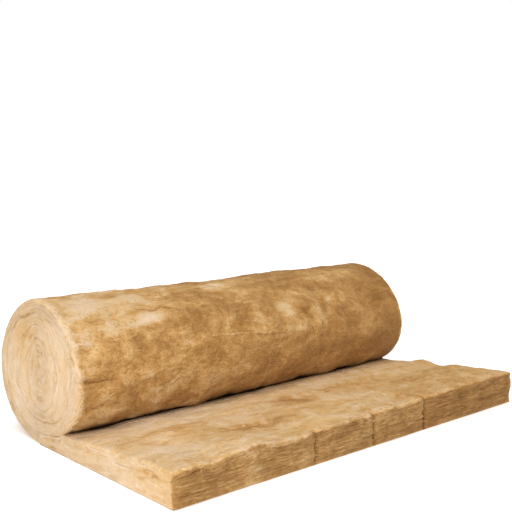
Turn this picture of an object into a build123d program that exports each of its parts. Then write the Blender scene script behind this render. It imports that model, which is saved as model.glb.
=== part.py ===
"""Roll of glass wool insulation, partly unrolled on a level floor.

One continuous blanket: a flat free stretch lies on the floor, runs under the roll, up its back,
over its top and down its front, and goes on winding inwards. The wool is squeezed thin where it
leaves the roll and swells to its full loft towards the free end. Three tear lines across the
width show as slits in the free end.

Frame: X along the roll's axis, -Y towards the free end, Z up, with the origin on the floor
under the middle of the blanket's box. All lengths are in millimetres.
"""

import os
from math import cos, radians, sin

from build123d import *

# Blanket
BLANKET_WIDTH = 1160.0
FREE_END_LOFT = 85.0
FREE_LENGTH = 550.0
FREE_EDGE_RADIUS = 14.0

# Roll: half axes of the outermost turn, and how much each turn takes off them
ROLL_HALF_DEPTH = 208.0
ROLL_HALF_HEIGHT = 180.0
TURN_PITCH = 30.0
CORE_HALF_HEIGHT = 16.0
SAG_SHARE = 0.10
CREASE_ANGLE = 333.0

# Swelling of the free stretch: one point of its top, as shares of its run and of its rise
SWELL_RUN_SHARE = 0.38
SWELL_RISE_SHARE = 0.62

# Groove between the turns, cut into both ends. It starts a little way past the crease.
GROOVE_WIDTH = 4.0
GROOVE_DEPTH = 12.0
GROOVE_START_ANGLE = 8.0

# Tear lines across the width, as shares of it, and the slits that they open in the free end
TEAR_LINE_SHARES = (1 / 3, 1 / 2, 2 / 3)
SLIT_MOUTH = 6.0
SLIT_DEPTH = 60.0

# Winding angles are in degrees. A wound line is drawn in steps of this angle.
FULL_TURN = 360.0
WINDING_STEP = 30.0
OVERRUN = 5.0


def wound_point(turned, inset=0.0):
    """Point of the blanket's outer face after `turned` degrees of winding from under the axis.

    A spiral whose half axes lose one pitch each turn. It is wider below the axis than above it,
    because the soft roll sags.
    """
    angle = radians(turned)
    depth = TURN_PITCH * turned / FULL_TURN + inset
    along = (ROLL_HALF_DEPTH - depth) * sin(angle) * (1 + SAG_SHARE * cos(angle))
    up = ROLL_HALF_HEIGHT - (ROLL_HALF_HEIGHT - depth) * cos(angle)
    return (along, up)


def winding_angles(first, last):
    """Evenly spaced winding angles from first to last, a pair of them to each winding step."""
    pairs = round((last - first) / WINDING_STEP)
    return [first + (last - first) * i / (2 * pairs) for i in range(2 * pairs + 1)]


def wound_arcs(first, last, inset):
    """Chain of arcs along the winding, each through three points of the spiral."""
    points = [wound_point(angle, inset) for angle in winding_angles(first, last)]
    return [ThreePointArc(*trio) for trio in zip(points[:-2:2], points[1:-1:2], points[2::2])]


def blanket_section():
    """Outline across the width: floor line, outermost turn, crease, swelling top and free end."""
    free_foot = (-FREE_LENGTH, 0.0)
    turn_points = [wound_point(angle) for angle in winding_angles(0.0, CREASE_ANGLE)]
    crease = turn_points[-1]
    top_end = (-FREE_LENGTH + FREE_EDGE_RADIUS, FREE_END_LOFT)
    swell_point = (
        crease[0] + (top_end[0] - crease[0]) * SWELL_RUN_SHARE,
        crease[1] + (top_end[1] - crease[1]) * SWELL_RISE_SHARE,
    )
    edge_foot = (-FREE_LENGTH, FREE_END_LOFT - FREE_EDGE_RADIUS)
    outline = [
        Line(free_foot, turn_points[0]),
        Spline(turn_points),
        Spline([crease, swell_point, top_end]),
        RadiusArc(top_end, edge_foot, -FREE_EDGE_RADIUS),
        Line(edge_foot, free_foot),
    ]
    return make_face(outline)


def turn_groove():
    """Thin spiral band between the turns, from just past the crease to the core."""
    first = CREASE_ANGLE + GROOVE_START_ANGLE
    last = FULL_TURN * (ROLL_HALF_HEIGHT - CORE_HALF_HEIGHT) / TURN_PITCH
    outer = wound_arcs(first, last, -GROOVE_WIDTH / 2)
    inner = wound_arcs(first, last, GROOVE_WIDTH / 2)
    start_wall = Line(outer[0] @ 0, inner[0] @ 0)
    core_wall = Line(outer[-1] @ 1, inner[-1] @ 1)
    return make_face([*outer, core_wall, *inner, start_wall])


def tear_slit(share):
    """Wedge that a tear line opens in the free end, widest at the end face and through the loft."""
    across = BLANKET_WIDTH * (share - 1 / 2)
    mouth = -FREE_LENGTH - OVERRUN
    half_mouth = SLIT_MOUTH / 2 * (SLIT_DEPTH + OVERRUN) / SLIT_DEPTH
    wedge = Polyline(
        (across - half_mouth, mouth),
        (across + half_mouth, mouth),
        (across, -FREE_LENGTH + SLIT_DEPTH),
        close=True,
    )
    footprint = Pos(0, 0, -OVERRUN) * make_face(wedge)
    return extrude(footprint, FREE_END_LOFT + 2 * OVERRUN)


def wool_blanket():
    """The whole blanket as one solid, with its groove cut into both ends and its slits open."""
    body = Pos(-BLANKET_WIDTH / 2, 0, 0) * extrude(Plane.YZ * blanket_section(), BLANKET_WIDTH)
    groove = extrude(Plane.YZ * turn_groove(), GROOVE_DEPTH, both=True)
    for side in (-1, 1):
        body -= Pos(side * BLANKET_WIDTH / 2, 0, 0) * groove
    for share in TEAR_LINE_SHARES:
        body -= tear_slit(share)
    return body


def centred_on_floor(body):
    """Moves the body so that the middle of its box's underside is at the origin."""
    box = body.bounding_box()
    return Pos(-box.center().X, -box.center().Y, -box.min.Z) * body


os.makedirs("parts", exist_ok=True)
blanket = centred_on_floor(wool_blanket())
box = blanket.bounding_box()
print("wool_blanket", "volume", round(blanket.volume), "size", box.size, "low corner", box.min)
export_step(blanket, "parts/wool_blanket.step")
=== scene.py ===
# %% [markdown]
# # A partly unrolled roll of glass wool
# The real thing is one long blanket of spun glass, wound up soft and springy, with its free end
# laid out on the floor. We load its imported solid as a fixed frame, build the wool as one closed
# surface around the same sizes, give it one mottled wool material, and lay bundles of fibre, torn
# lips and loose hairs on it. Every length is in metres: X runs along the roll, -Y points to the
# free end and Z is up.

# %% Load the frame
from math import radians, tau

import bpy
import numpy as np
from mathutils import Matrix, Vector


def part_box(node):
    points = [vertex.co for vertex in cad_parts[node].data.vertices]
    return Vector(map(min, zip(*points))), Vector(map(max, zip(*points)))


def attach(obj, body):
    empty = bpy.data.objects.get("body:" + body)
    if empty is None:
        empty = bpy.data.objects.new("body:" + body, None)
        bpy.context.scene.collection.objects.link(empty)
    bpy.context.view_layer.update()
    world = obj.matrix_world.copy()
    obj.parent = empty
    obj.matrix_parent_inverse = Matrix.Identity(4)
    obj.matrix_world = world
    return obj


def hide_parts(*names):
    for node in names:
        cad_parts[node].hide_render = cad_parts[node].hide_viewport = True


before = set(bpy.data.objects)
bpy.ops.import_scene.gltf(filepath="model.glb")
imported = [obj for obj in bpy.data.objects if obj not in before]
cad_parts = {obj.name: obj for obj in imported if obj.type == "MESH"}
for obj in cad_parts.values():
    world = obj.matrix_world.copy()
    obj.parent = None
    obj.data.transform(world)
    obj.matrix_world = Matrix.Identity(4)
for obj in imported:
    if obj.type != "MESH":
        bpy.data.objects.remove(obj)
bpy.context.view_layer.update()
low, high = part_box("wool_blanket")
HALF_WIDTH = high[0]
FREE_END_Y = low[1]
print("blanket box", [round(v, 3) for v in (*low, *high)])

# %% [markdown]
# ## Camera
# The camera stands low and to the left, so that one end of the roll and the free end both show.
# A camera can be placed by eye, but then the lengths don't agree. This place and lens were worked
# out from lines of known length: the blanket's width, its corners and its slits.

# %% Camera
CAMERA_PLACE = (-1.497, -1.640, 0.6395)
CAMERA_YAW = radians(41.674)
CAMERA_PITCH = radians(-5.611)
CAMERA_LENS_MM = 59.74

scene = bpy.context.scene
camera_data = bpy.data.cameras.new("camera")
camera_data.lens = CAMERA_LENS_MM
camera = bpy.data.objects.new("camera", camera_data)
camera.location = CAMERA_PLACE
camera.rotation_euler = (tau / 4 + CAMERA_PITCH, 0, -CAMERA_YAW)
scene.collection.objects.link(camera)
scene.camera = camera
print("camera at", CAMERA_PLACE)

# %% [markdown]
# ## Floor
# The roll lies on a plain pale floor, one large square. Lit by lamps alone it would turn grey far
# away, so it also glows a little and stays white up to the horizon.

# %% Floor
FLOOR_HALF = 12.0
FLOOR_GREY = 0.96
FLOOR_ROUGHNESS = 0.9
FLOOR_GLOW = 0.26

floor_mesh = bpy.data.meshes.new("floor")
floor_corners = [(FLOOR_HALF * x, FLOOR_HALF * y, 0) for x, y in ((-1, -1), (1, -1), (1, 1), (-1, 1))]
floor_mesh.from_pydata(floor_corners, [], [(0, 1, 2, 3)])
floor = bpy.data.objects.new("floor", floor_mesh)
scene.collection.objects.link(floor)
floor_paint = bpy.data.materials.new("pale_floor")
floor_paint.use_nodes = True
floor_shader = floor_paint.node_tree.nodes["Principled BSDF"]
floor_shader.inputs["Base Color"].default_value = (FLOOR_GREY, FLOOR_GREY, FLOOR_GREY, 1)
floor_shader.inputs["Roughness"].default_value = FLOOR_ROUGHNESS
floor_shader.inputs["Emission Color"].default_value = (1, 1, 1, 1)
floor_shader.inputs["Emission Strength"].default_value = FLOOR_GLOW
floor_mesh.materials.append(floor_paint)
print("floor", 2 * FLOOR_HALF, "m wide")

# %% [markdown]
# ## Light
# Hard lamps make every fibre look like wire, so all the light is soft. A wide key lamp on the left
# lights the end of the roll, a weaker fill lamp stands beside the camera, and a soft sun shines
# from overhead and in front. A pale sky fills the shade, and the camera sees it as plain white.

# %% Lamps
LAMP_TARGET = Vector((-0.1, 0, 0.15))

# Lamps: name, kind, place, strength, and the side of an area lamp or the spread of a sun
LAMPS = (
    ("key", "AREA", (-2.5, -1.0, 0.75), 28.0, 1.8),
    ("fill", "AREA", (-1.75, -1.75, 0.6), 14.0, 1.6),
    ("overhead", "SUN", (-0.4, -1.4, 5.0), 2.3, radians(70)),
)


def add_lamp(name, kind, place, strength, spread):
    """A lamp at a place, turned towards the roll."""
    data = bpy.data.lights.new(name, kind)
    data.energy = strength
    setattr(data, "angle" if kind == "SUN" else "size", spread)
    lamp = bpy.data.objects.new(name, data)
    lamp.location = place
    lamp.rotation_euler = (LAMP_TARGET - Vector(place)).to_track_quat("-Z", "Y").to_euler()
    scene.collection.objects.link(lamp)


for row in LAMPS:
    add_lamp(*row)
print("lamps", [lamp.name for lamp in bpy.data.lights])

# %% Sky
SKY_STRENGTH = 0.38
SKY_SEEN = 1.0


def node(tree, kind, inputs=None, **settings):
    """A new node: settings are its properties, and inputs its values or the sockets to link."""
    made = tree.nodes.new(kind)
    for name, value in settings.items():
        setattr(made, name, value)
    for name, value in (inputs or {}).items():
        if isinstance(value, bpy.types.NodeSocket):
            tree.links.new(value, made.inputs[name])
        else:
            made.inputs[name].default_value = value
    return made


def mapped(tree, value, start, end, to_start=0.0, to_end=1.0, **settings):
    """A socket's value mapped from start and end to two other values."""
    inputs = {"Value": value, "From Min": start, "From Max": end, "To Min": to_start, "To Max": to_end}
    return node(tree, "ShaderNodeMapRange", inputs, **settings).outputs[0]


sky = bpy.data.worlds.new("sky")
sky.use_nodes = True
background = sky.node_tree.nodes["Background"]
background.inputs["Color"].default_value = (1, 1, 1, 1)
seen = node(sky.node_tree, "ShaderNodeLightPath").outputs["Is Camera Ray"]
sky_light = mapped(sky.node_tree, seen, 0.0, 1.0, SKY_STRENGTH, SKY_SEEN)
sky.node_tree.links.new(sky_light, background.inputs["Strength"])
scene.world = sky
scene.view_settings.view_transform = "Standard"
print("sky of strength", SKY_STRENGTH)

# %% [markdown]
# ## Soft lumps
# Wool is never even. A value noise gives soft random lumps: random numbers sit on a cubic lattice,
# and each point gets a smooth blend of the eight around it. It is worked out for whole arrays at
# once and always gives the same numbers, so the model is the same on every run.

# %% Noise
CELL_PRIMES = np.array([73856093, 19349663, 83492791])
SEED_PRIME = 2654435761
MIX_STEPS = ((15, 2246822519), (13, 3266489917))
LAST_SHIFT = 16
HALF_RANGE = 2.0 ** 31


def lattice_value(cell, seed):
    """Random number from -1 to 1 for each whole-number cell: its coordinates times three large
    primes are mixed by shifts and products in 32 bits."""
    mixed = ((cell * CELL_PRIMES).sum(-1) + seed * SEED_PRIME).astype(np.uint32)
    for shift, prime in MIX_STEPS:
        mixed = (mixed ^ (mixed >> np.uint32(shift))) * np.uint32(prime)
    return (mixed ^ (mixed >> np.uint32(LAST_SHIFT))).astype(np.float64) / HALF_RANGE - 1.0


def lumps(points, size, seed, octaves=2):
    """Value noise from about -1 to 1. size is the lump's length along x, y and z. Each further
    octave is half as large and half as strong."""
    total, weight = 0.0, 1.0
    for octave in range(octaves):
        scaled = points / np.asarray(size) * 2 ** octave
        cell = np.floor(scaled).astype(np.int64)
        part = scaled - cell
        part = part * part * (3 - 2 * part)
        blend = 0.0
        for corner in np.ndindex(2, 2, 2):
            share = np.prod(np.where(corner, part, 1 - part), axis=-1)
            blend = blend + share * lattice_value(cell + np.array(corner), seed + octave)
        total = total + weight * blend
        weight /= 2
    return total


def relief(points, *kinds):
    """Sum of lumps: each kind gives their height, size, seed and octaves."""
    return sum(height * lumps(points, *kind) for height, *kind in kinds)


print("noise at one point", lumps(np.full((1, 3), 0.3), (1, 1, 1), seed=1).round(3))


# %% Ramps and bells
def ramp(value, start, end):
    """Smooth step: 0 before start, 1 after end."""
    part = np.clip((value - start) / (end - start), 0, 1)
    return part * part * (3 - 2 * part)


def plateau(value, rise_start, rise_end, fall_start, fall_end):
    """A ramp up times a ramp down: 1 between them, 0 outside."""
    return ramp(value, rise_start, rise_end) * (1 - ramp(value, fall_start, fall_end))


def bell(value, centre, spread):
    """Bell curve of height 1 around centre."""
    return np.exp(-(((value - centre) / spread) ** 2))


print("half way up a ramp", ramp(0.5, 0, 1), "and a bell's spread away", round(bell(1, 0, 1), 3))

# %% [markdown]
# ## The winding
# Seen from the end, the blanket is a spiral whose half axes lose one pitch each turn. It sags, so
# it is wider below its axis than above. The same formula gives the outermost turn, the crease and
# the lines between the turns on the ends. The roll lies a little askew on its free stretch.

# %% Winding
ROLL_HALF_DEPTH = 0.208
ROLL_HALF_HEIGHT = 0.180
TURN_PITCH = 0.030
SAG_SHARE = 0.10
CREASE_TURN = radians(333)
CORE_HALF_HEIGHT = 0.016
CORE_ASPECT = 0.62
CORE_TURNS = 3.2
AXIS_FROM_FREE_END = (0.531, 0.568)


def wound(turned, inset=0.0):
    """Along and up of the blanket's outer face after `turned` radians from under the axis: sine and
    cosine of the angle, times half axes that shrink by one pitch each turn, widened below. Inside
    the crease the half axis along shrinks towards a share of the one up, so that the core is
    narrow and tall."""
    depth = TURN_PITCH * turned / tau + inset
    core = ramp(turned, CREASE_TURN, CREASE_TURN + CORE_TURNS * tau)
    half_up = ROLL_HALF_HEIGHT - depth
    half_along = (1 - core) * (ROLL_HALF_DEPTH - depth) + core * CORE_ASPECT * half_up
    along = half_along * np.sin(turned) * (1 + SAG_SHARE * np.cos(turned))
    return along, ROLL_HALF_HEIGHT - half_up * np.cos(turned)


def between(limits, x):
    """A straight line from the first limit at the left end of the roll to the second at the right."""
    share = (x + HALF_WIDTH) / (2 * HALF_WIDTH)
    return limits[0] + (limits[1] - limits[0]) * share


def axis_y(x):
    """The roll's axis, a little farther from the free end on the right."""
    return FREE_END_Y + between(AXIS_FROM_FREE_END, x)


print("crease at along and up", [round(float(v), 3) for v in wound(CREASE_TURN)])

# %% [markdown]
# ## Stations along the width
# The skin of the blanket is a grid: an outline across the roll, carried along the width. The
# stations are even, apart from close ones at each slit in the free end and at the two rims, where
# the outline shrinks along a quarter circle so that the rim is soft.

# %% Stations
EVEN_STATIONS = 146
RIM_RADIUS = 0.011
RIM_ANGLES = np.radians([90, 60, 30])
SLITS_X = (2 * HALF_WIDTH) * (np.array([1 / 3, 1 / 2, 2 / 3]) - 1 / 2)
SLIT_STATIONS = np.array([-9, -5, -2.6, 0, 2.6, 5, 9]) / 1000
SLIT_CLEAR = 0.011


def to_slits(x):
    """Distance along the width from each place to each of the slits."""
    return np.abs(x[..., None] - SLITS_X)


even = np.linspace(-HALF_WIDTH + RIM_RADIUS, HALF_WIDTH - RIM_RADIUS, EVEN_STATIONS)
even = even[to_slits(even).min(1) > SLIT_CLEAR]
inner = np.sort(np.concatenate([even, (SLITS_X[:, None] + SLIT_STATIONS).ravel()]))
rim_x = HALF_WIDTH - RIM_RADIUS * (1 - np.sin(RIM_ANGLES))
rim_inset = RIM_RADIUS * (1 - np.cos(RIM_ANGLES))
stations = np.concatenate([-rim_x, inner, rim_x[::-1]])
insets = np.concatenate([rim_inset, np.zeros(len(inner)), rim_inset[::-1]])
print("stations", len(stations))

# %% [markdown]
# ## The outline
# The outline runs along the floor, up the back, over the top and down the front to the crease,
# then out along the top of the free stretch and down its cut end. The free stretch is squeezed
# thin at the crease and swells to its full loft, a little thicker on the right. One row of points
# goes to each step, and the four stretches are joined into one closed loop.

# %% Cut end's height
END_LOFT = (0.076, 0.091)
EDGE_WAVES = (0.0036, (0.06, 1, 1), 101, 3)

# Humps and dips of the cut end's top edge: place along the width, spread and height
EDGE_HUMPS = ((-0.37, 0.07, 0.007), (-0.24, 0.05, -0.003))


def on_line(x):
    """Places along the width as points on the X axis."""
    return np.stack([x, 0 * x, 0 * x], -1)


def free_loft(x):
    """Height of the cut end: thicker to the right, with a hump and a dip near the left, and waves."""
    humps = sum(height * bell(x, place, spread) for place, spread, height in EDGE_HUMPS)
    return between(END_LOFT, x) + humps + relief(on_line(x), EDGE_WAVES)


print("loft from", free_loft(stations).min().round(3), "to", free_loft(stations).max().round(3))

# %% Outline
TURN_COLUMNS = 200
FREE_COLUMNS = 84
PLY_ROWS = 14
CREASE_COLUMNS = round(TURN_COLUMNS * (1 - CREASE_TURN / tau))
FLOOR_COLUMNS = FREE_COLUMNS + CREASE_COLUMNS
OUTER_COLUMNS = TURN_COLUMNS - CREASE_COLUMNS
SWELL_POWER = 0.72
TOP_EDGE_RADIUS = 0.012
FOOT_EDGE_RADIUS = 0.005

# A swell and a dip on the right of the free top: where along the width and how far they spread, then
# the share of the way from the cut end to the crease, its spread and the height of each
SWALE_X = (0.58, 0.2)
SWALES = ((0.62, 0.07, 0.007), (0.48, 0.06, -0.007))


def rounded_corner(away, radius):
    """For points `away` from a square corner along one side: how far each moves along that side
    and into the other, so that the corner becomes a quarter circle."""
    angle = tau / 8 * (1 - np.clip(away / radius, 0, 1))
    inside = away < radius
    along = np.where(inside, radius * (1 - np.sin(angle)) - away, 0)
    into = np.where(inside, radius * (1 - np.cos(angle)), 0)
    return along, into


def floor_line(x):
    """From the foot of the cut end to below the axis, with its first corner rounded."""
    run = (np.arange(FLOOR_COLUMNS) / FLOOR_COLUMNS)[:, None]
    y = FREE_END_Y + (axis_y(x) - FREE_END_Y) * run
    along, into = rounded_corner(y - FREE_END_Y, FOOT_EDGE_RADIUS)
    return y + along, into


def outermost_turn(x):
    """The winding from below the axis to the crease, the same at every station."""
    along, up = wound(np.linspace(0, CREASE_TURN, OUTER_COLUMNS + 1))
    y = axis_y(x) + along[:, None]
    return y, np.broadcast_to(up[:, None], y.shape)


def free_top(x, crease_y, crease_z):
    """From the crease to the cut end. It rises with a power of the way from the crease, and its last
    corner is rounded."""
    run = (np.arange(FREE_COLUMNS)[::-1] / FREE_COLUMNS)[:, None]
    y = FREE_END_Y + (crease_y - FREE_END_Y) * run
    z = crease_z + (free_loft(x) - crease_z) * (1 - run) ** SWELL_POWER
    swales = sum(height * bell(run, place, spread) for place, spread, height in SWALES)
    along, into = rounded_corner(y - FREE_END_Y, TOP_EDGE_RADIUS)
    return y + along, z + bell(x, *SWALE_X) * swales - into


def cut_end(x):
    """Down the cut end, with both its corners rounded."""
    loft = free_loft(x)
    rise = (np.arange(1, PLY_ROWS)[::-1] / PLY_ROWS)[:, None] * loft
    along, into = rounded_corner(loft - rise, TOP_EDGE_RADIUS)
    foot_along, foot_into = rounded_corner(rise, FOOT_EDGE_RADIUS)
    return FREE_END_Y + into + foot_into, rise - along + foot_along


def outline(x):
    """Rows of y and of z around the blanket for each station, counterclockwise seen along -X."""
    turn_y, turn_z = outermost_turn(x)
    stretches = (floor_line(x), (turn_y, turn_z), free_top(x, turn_y[-1], turn_z[-1]), cut_end(x))
    return [np.concatenate(rows) for rows in zip(*stretches)]


skin_y, skin_z = outline(stations)
ROWS = len(skin_y)
FIRST_TURN_ROW = FLOOR_COLUMNS
CREASE_ROW = FLOOR_COLUMNS + OUTER_COLUMNS
CORNER_ROW = CREASE_ROW + FREE_COLUMNS
print("outline rows", ROWS, "crease at row", CREASE_ROW)

# %% [markdown]
# ## Lumps and plies on the skin
# Each point moves along the outline's normal. The roll gets broad soft lumps, smaller tufts and a
# few seams, the free top gets long low waves along the width, and the cut end gets thin plies and a
# crack. The crease is pressed in as a ragged gap, with the roll's wool bulging beside it.

# %% Regions of the skin
DEGREES_PER_ROW = 360 / TURN_COLUMNS
row_number = np.arange(ROWS)[:, None]
from_crease = np.abs(row_number - CREASE_ROW)
turn_degrees = (row_number - FIRST_TURN_ROW) * DEGREES_PER_ROW
up_to = [row_number <= last for last in (FIRST_TURN_ROW, CREASE_ROW, CORNER_ROW)]


def by_region(floor_value, turn_value, top_value, end_value):
    """Picks the value of the region that each row of the skin belongs to."""
    return np.select(up_to, [floor_value, turn_value, top_value], end_value)


def near_rim(x, far, near):
    """0 farther than `far` from both ends of the roll, and 1 nearer than `near`."""
    return ramp(np.abs(x), HALF_WIDTH - far, HALF_WIDTH - near)


print("rows of the floor, turn and free top end at", FIRST_TURN_ROW, CREASE_ROW, CORNER_ROW)

# %% Seams and streaks
COMBED_X = (0.27, 0.20)
COMBED_DEGREES = (240, 28)
COMBED_SIZE = (0.022, 0.10, 1)
SEAM_FADE = (-0.05, 0.2, 0.8, 1.05)

# Seams on the roll: where each starts and ends along the width, its winding angles there in degrees,
# how proud it stands and how many rows wide it is
ROLL_SEAMS = (
    (-0.60, -0.530, 240.0, 240.0, 0.006, 1.6),
    (-0.60, -0.525, 246.0, 247.0, -0.005, 2.4),
    (-0.60, -0.470, 268.0, 272.5, -0.006, 1.2),
    (-0.21, 0.080, 249.0, 258.0, 0.0028, 1.4),
    (-0.56, -0.510, 294.0, 296.0, -0.004, 1.2),
)


def seams(x):
    """Low ridges and cracks on the roll: a bell across each seam's line, faded at its two ends."""
    total = 0.0
    for start, end, turned_start, turned_end, height, rows in ROLL_SEAMS:
        share = (x - start) / (end - start)
        line = turned_start + (turned_end - turned_start) * share
        across = bell(turn_degrees, line, rows * DEGREES_PER_ROW)
        total = total + height * plateau(share, *SEAM_FADE) * across
    return total


def combed(x, octaves):
    """Streaks around the roll where its right half faces the front: lumps that are long around it
    and short along it, faded by a bell each way."""
    where = np.stack(np.broadcast_arrays(x, turn_degrees / 360, 0.0), -1)
    faded = bell(x, *COMBED_X) * bell(turn_degrees, *COMBED_DEGREES)
    return faded * lumps(where, COMBED_SIZE, 109, octaves)


print("seams from", seams(stations).min().round(4), "to", seams(stations).max().round(4))

# %% Relief of the skin
BROAD_LUMPS = (0.0038, (0.24, 0.16, 0.16), 11, 2)
TUFT_LUMPS = (0.0024, (0.055, 0.035, 0.035), 23, 3)
CRINKLES = (0.0013, (0.024, 0.030, 0.030), 25, 2)
COMBED_HEIGHT = 0.003
LONG_WAVES = (0.003, (0.30, 0.09, 0.3), 31, 2)
SHORT_WAVES = (0.0018, (0.07, 0.02, 0.05), 37, 2)
PLIES = (0.0035, (0.10, 0.2, 0.012), 41, 2)
CRACK_UP, CRACK_SLOPE, CRACK_SPREAD, CRACK_DEPTH = 0.056, 0.022 / 0.13, 0.0045, 0.009
CRACK_FADE = (-0.46, -0.40)
SMOOTH_RIM, SMOOTH_RIM_REACH = 0.7, (0.09, 0.01)
FLOOR_FADE = (0.0, 0.05)
CREASE_FADE = (1, 9)

# The crease, in metres, and in rows of the skin beside it
CREASE_GAP, GAP_ROWS = 0.017, (0, 2, 2, 5)
CREASE_BULGE, BULGE_ROWS = 0.005, (2, 7, 8, 45)
CREASE_FILL, FILL_ROWS = 0.007, (0, 5)
CREASE_LUMPS = (1.1, (0.07, 0.5, 0.5), 43, 3)
CREASE_REACH = (0.07, 0.01)


def crease_relief(points):
    """Relief beside the crease, on both of its sides and on the roll alone: a ragged gap and a bulge
    behind it. Both fade towards the ends of the roll, where the crease is filled."""
    inside = 1 - near_rim(points[..., 0], *CREASE_REACH)
    ragged = inside * (1 + relief(points, CREASE_LUMPS))
    filled = CREASE_FILL * (1 - inside) * (1 - ramp(from_crease, *FILL_ROWS))
    gap = filled - CREASE_GAP * ragged * plateau(from_crease, *GAP_ROWS)
    return gap, CREASE_BULGE * ragged * plateau(from_crease, *BULGE_ROWS)


def lift(points):
    """How far each point of the skin stands proud: lumps, tufts, streaks and seams on the roll, waves
    on the free top, plies and a crack on the cut end, the crease, and nothing on the floor."""
    x, z = points[..., 0], points[..., 2]
    off_crease = ramp(from_crease, *CREASE_FADE)
    gap, bulge = crease_relief(points)
    rough = relief(points, BROAD_LUMPS, TUFT_LUMPS, CRINKLES) + COMBED_HEIGHT * combed(x, octaves=2)
    rough = rough * (1 - SMOOTH_RIM * near_rim(x, *SMOOTH_RIM_REACH)) + seams(x)
    on_roll = rough * ramp(z, *FLOOR_FADE) * off_crease + gap + bulge
    on_top = relief(points, LONG_WAVES, SHORT_WAVES) * off_crease + gap
    crack_line = CRACK_UP + CRACK_SLOPE * (x + HALF_WIDTH)
    crack = CRACK_DEPTH * bell(z, crack_line, CRACK_SPREAD) * (1 - ramp(x, *CRACK_FADE))
    return by_region(0, on_roll, on_top, relief(points, PLIES) - crack)


# %% Skin
RIM_SHARES = (0.1, 0.55, 0.6, 0.35)
RIM_FADE = (0, 10)


def outline_normals(y, z):
    """Outward normals of a closed outline, from the chord between each row's neighbours."""
    chord_y = np.roll(y, -1, 0) - np.roll(y, 1, 0)
    chord_z = np.roll(z, -1, 0) - np.roll(z, 1, 0)
    length = np.hypot(chord_y, chord_z)
    return chord_z / length, -chord_y / length


def skin_points(y, z):
    """The outline and its stations as points, rows by stations by three."""
    return np.stack([np.broadcast_to(stations, y.shape), y, z], -1)


normal_y, normal_z = outline_normals(skin_y, skin_z)
rim_drop = insets * by_region(*RIM_SHARES) * ramp(from_crease, *RIM_FADE)
proud = lift(skin_points(skin_y, skin_z)) - rim_drop
skin_y = skin_y + normal_y * proud
skin_z = skin_z + normal_z * proud
print("relief from", proud.min().round(3), "to", proud.max().round(3))

# %% [markdown]
# ## Slits
# The blanket is made to be torn into narrower ones, so three lines across its width are half cut
# through. They show as slits in the cut end. Each is a sharp wedge pressed into the skin, with the
# edge beside it drawn in and down a little, because soft wool gives way there.

# %% Slits
SLIT_DEPTHS = np.array([0.014, 0.026, 0.032])
SLIT_HALF_MOUTH = 0.0038
PUCKER_DEPTH, PUCKER_SPREAD = 0.003, 0.008
DIP_DEPTH, DIP_SPREAD, DIP_REACH = 0.006, 0.009, 0.03

slit_gap = to_slits(stations).min(1)
slit_depth = SLIT_DEPTHS[to_slits(stations).argmin(1)]
from_end = skin_y - FREE_END_Y
wedge = slit_depth * np.clip(1 - slit_gap / SLIT_HALF_MOUTH, 0, 1)
pucker = PUCKER_DEPTH * bell(slit_gap, 0, PUCKER_SPREAD)
dip = DIP_DEPTH * bell(slit_gap, 0, DIP_SPREAD) * np.exp(-np.maximum(from_end, 0) / DIP_REACH)
slit_reach = by_region(0, 0, 1, 1) * np.clip(1 - from_end / (2 * slit_depth), 0, 1)
skin_y = skin_y + slit_reach * (wedge + pucker)
skin_z = np.maximum(skin_z - by_region(0, 0, dip, 0), 0)
skin = skin_points(skin_y, skin_z)
print("skin", skin.shape)

# %% [markdown]
# ## The two ends
# On each end the same blanket shows edge-on. Its grid follows the winding from the free end to the
# core: columns along the blanket, rows through its thickness. The inner side of one turn and the
# outer side of the next share their points, pressed into the end as a soft groove, so the ends
# close without a gap.

# %% Grid of an end
LAST_TURN = tau * (ROLL_HALF_HEIGHT - CORE_HALF_HEIGHT) / TURN_PITCH
LAST_COLUMN = FLOOR_COLUMNS + int(LAST_TURN / tau * TURN_COLUMNS)
FIRST_CORE_COLUMN = LAST_COLUMN + 1 - TURN_COLUMNS
CORE_PLY = 0.012
WOBBLE, WOBBLE_SIZE = 0.006, (0.05, 0.05, 1)
WOBBLE_EASE = radians(60)
WOBBLE_APART = 3.0
JOIN_TURN = radians(40)
column_number = np.arange(LAST_COLUMN + 1)
column_turn = (column_number - FLOOR_COLUMNS) / TURN_COLUMNS * tau
through_share = (np.arange(PLY_ROWS + 1) / PLY_ROWS)[None, :]


def rim_of(side):
    """The skin's own points at one end, as rows of y and z, and the roll's axis there."""
    station = 0 if side < 0 else -1
    return skin[:, station, 1:], axis_y(stations[station])


def end_feet(side):
    """Outer side of the blanket for every column: the skin's rim up to the crease, then the spiral,
    which wobbles a little and starts at the rim's crease point."""
    rim, axis = rim_of(side)
    along, up = wound(column_turn)
    past = column_turn - CREASE_TURN
    where = np.stack([along, up, np.full_like(along, side * WOBBLE_APART)], -1)
    wobble = WOBBLE * ramp(past, 0, WOBBLE_EASE)
    along = along + wobble * lumps(where, WOBBLE_SIZE, seed=51)
    up = up + wobble * lumps(where, WOBBLE_SIZE, seed=53)
    feet = np.stack([axis + along, up], -1)
    joined = np.clip(1 - past / JOIN_TURN, 0, 1)[:, None]
    feet = feet + (rim[CREASE_ROW] - feet[CREASE_ROW]) * joined
    feet[:CREASE_ROW + 1] = rim[:CREASE_ROW + 1]
    return feet


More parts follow.
